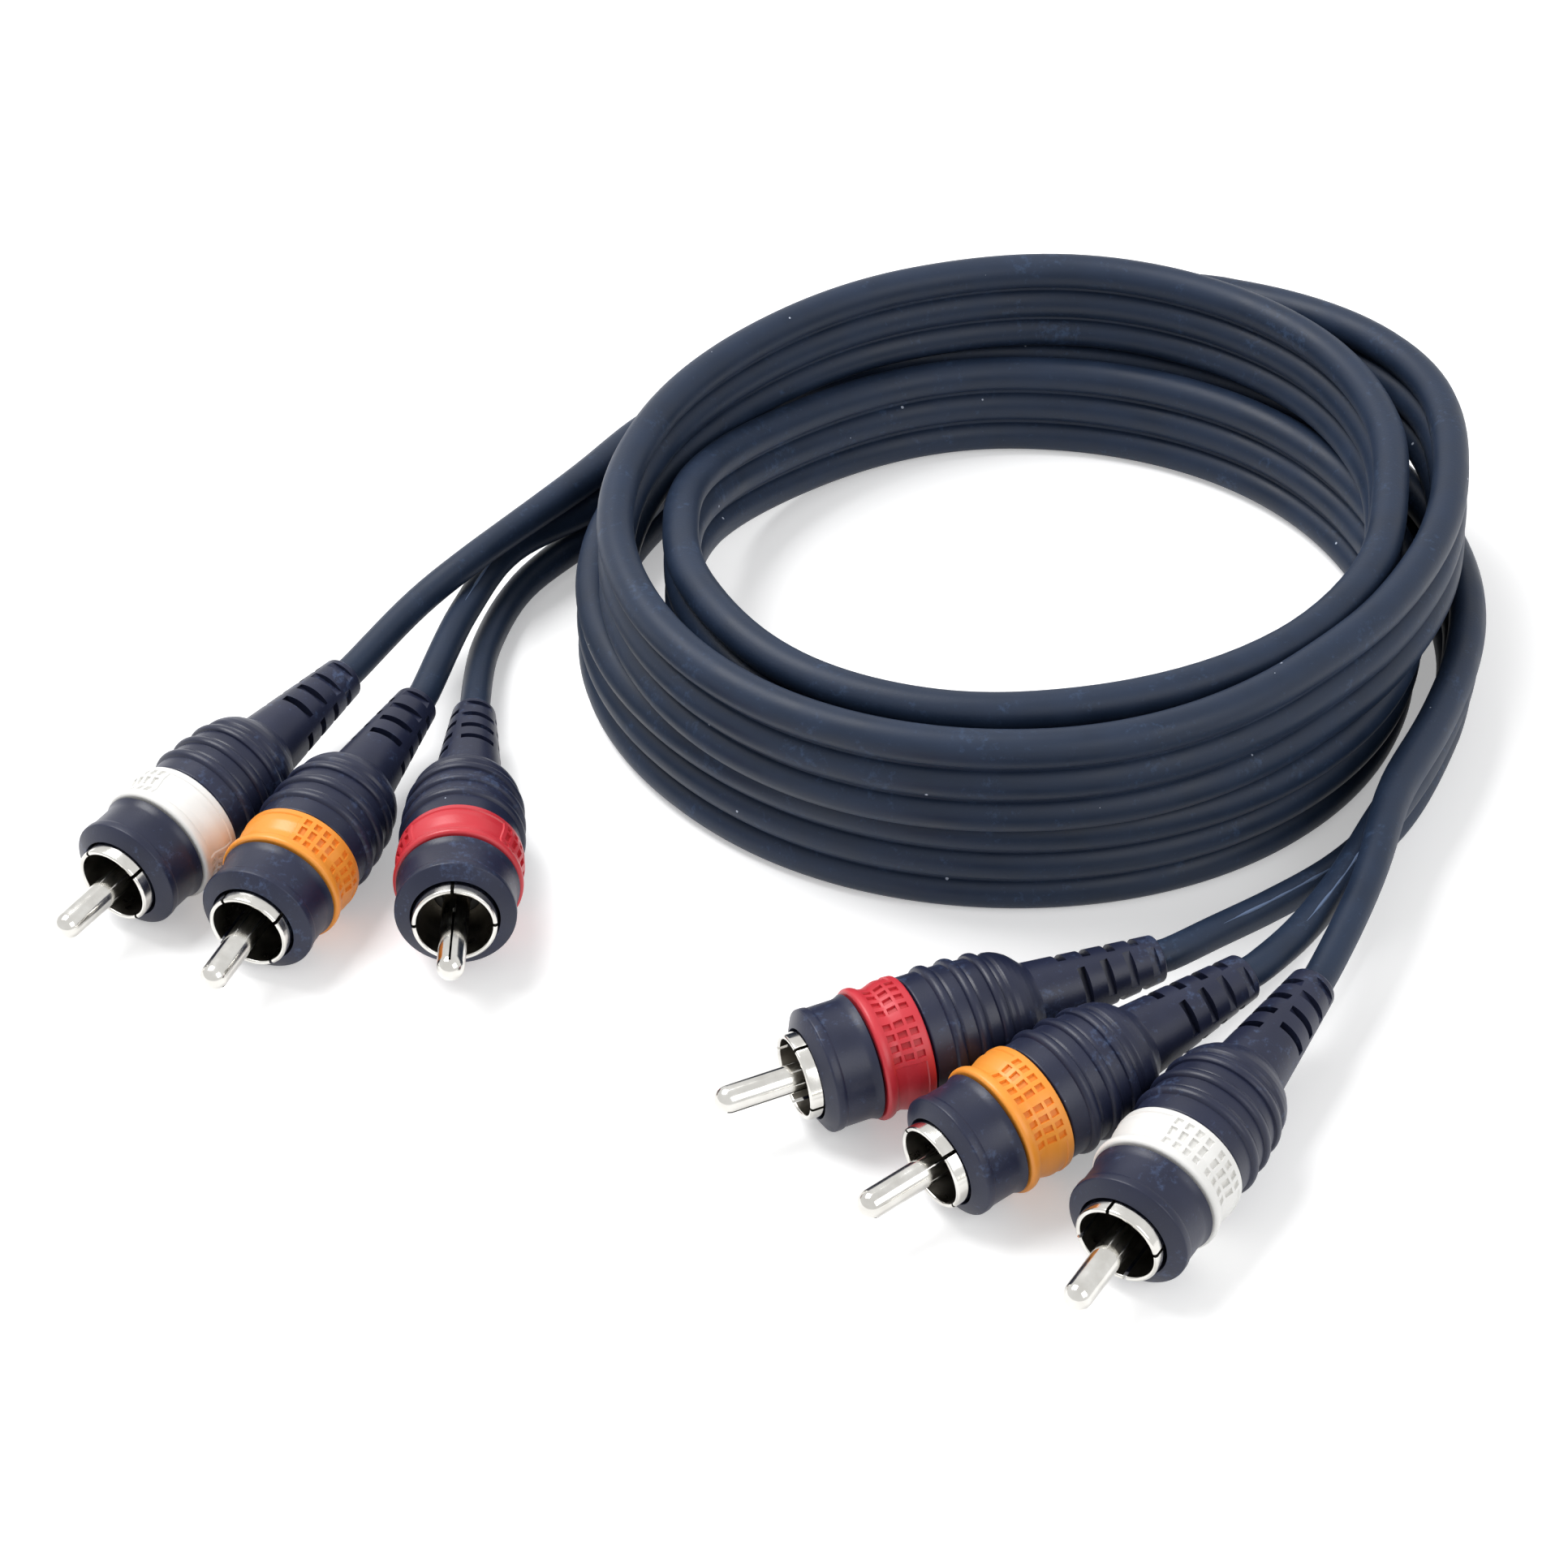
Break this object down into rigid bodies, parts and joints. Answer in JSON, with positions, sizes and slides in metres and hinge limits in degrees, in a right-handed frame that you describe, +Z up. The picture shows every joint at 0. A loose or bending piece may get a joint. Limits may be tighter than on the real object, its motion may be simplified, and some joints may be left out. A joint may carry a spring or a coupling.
{
  "type": "audio video cable",
  "caption": "Coiled screened ribbon cable whose strands split at both ends into leads with moulded phono plugs, each marked by a coloured ring.",
  "frame": {"origin": "on the table, under the middle of the box round the six plugs", "axes": "+X along the row of plugs, from the left-hand three to the right-hand three; +Y from the plugs towards the coil; +Z up from the table"},
  "size_m": [0.1693, 0.1767, 0.0276],
  "materials": {
    "moulding": "satin dark navy soft PVC, moulded over the plug, with fine parting lines",
    "cable_skin": "matt dark navy extruded PVC with a soft sheen, light scuffs and dust specks",
    "nickel_plate": "bright nickel plate on pressed brass, with faint forming marks",
    "pin_insulator": "black moulded plastic",
    "white_ring": "satin warm white plastic",
    "orange_ring": "satin orange plastic",
    "red_ring": "satin red plastic",
    "core_insulation": "natural polyethylene insulation on the signal wire",
    "copper_braid": "bare copper served screen"
  },
  "bodies": {
    "root": {"left_white_centre_pin": "nickel_plate", "left_white_pin_insulator": "pin_insulator", "left_white_ground_shell": "nickel_plate", "left_white_moulded_boot": "moulding", "left_white_colour_ring": "white_ring", "left_white_signal_core": "core_insulation", "left_white_ground_braid": "copper_braid", "left_white_lead": "cable_skin", "left_orange_centre_pin": "nickel_plate", "left_orange_pin_insulator": "pin_insulator", "left_orange_ground_shell": "nickel_plate", "left_orange_moulded_boot": "moulding", "left_orange_colour_ring": "orange_ring", "left_orange_signal_core": "core_insulation", "left_orange_ground_braid": "copper_braid", "left_orange_lead": "cable_skin", "left_red_centre_pin": "nickel_plate", "left_red_pin_insulator": "pin_insulator", "left_red_ground_shell": "nickel_plate", "left_red_moulded_boot": "moulding", "left_red_colour_ring": "red_ring", "left_red_signal_core": "core_insulation", "left_red_ground_braid": "copper_braid", "left_red_lead": "cable_skin", "right_red_centre_pin": "nickel_plate", "right_red_pin_insulator": "pin_insulator", "right_red_ground_shell": "nickel_plate", "right_red_moulded_boot": "moulding", "right_red_colour_ring": "red_ring", "right_red_signal_core": "core_insulation", "right_red_ground_braid": "copper_braid", "right_red_lead": "cable_skin", "right_orange_centre_pin": "nickel_plate", "right_orange_pin_insulator": "pin_insulator", "right_orange_ground_shell": "nickel_plate", "right_orange_moulded_boot": "moulding", "right_orange_colour_ring": "orange_ring", "right_orange_signal_core": "core_insulation", "right_orange_ground_braid": "copper_braid", "right_orange_lead": "cable_skin", "right_white_centre_pin": "nickel_plate", "right_white_pin_insulator": "pin_insulator", "right_white_ground_shell": "nickel_plate", "right_white_moulded_boot": "moulding", "right_white_colour_ring": "white_ring", "right_white_signal_core": "core_insulation", "right_white_ground_braid": "copper_braid", "right_white_lead": "cable_skin", "cable_coil": "cable_skin"}
  },
  "joints": []
}
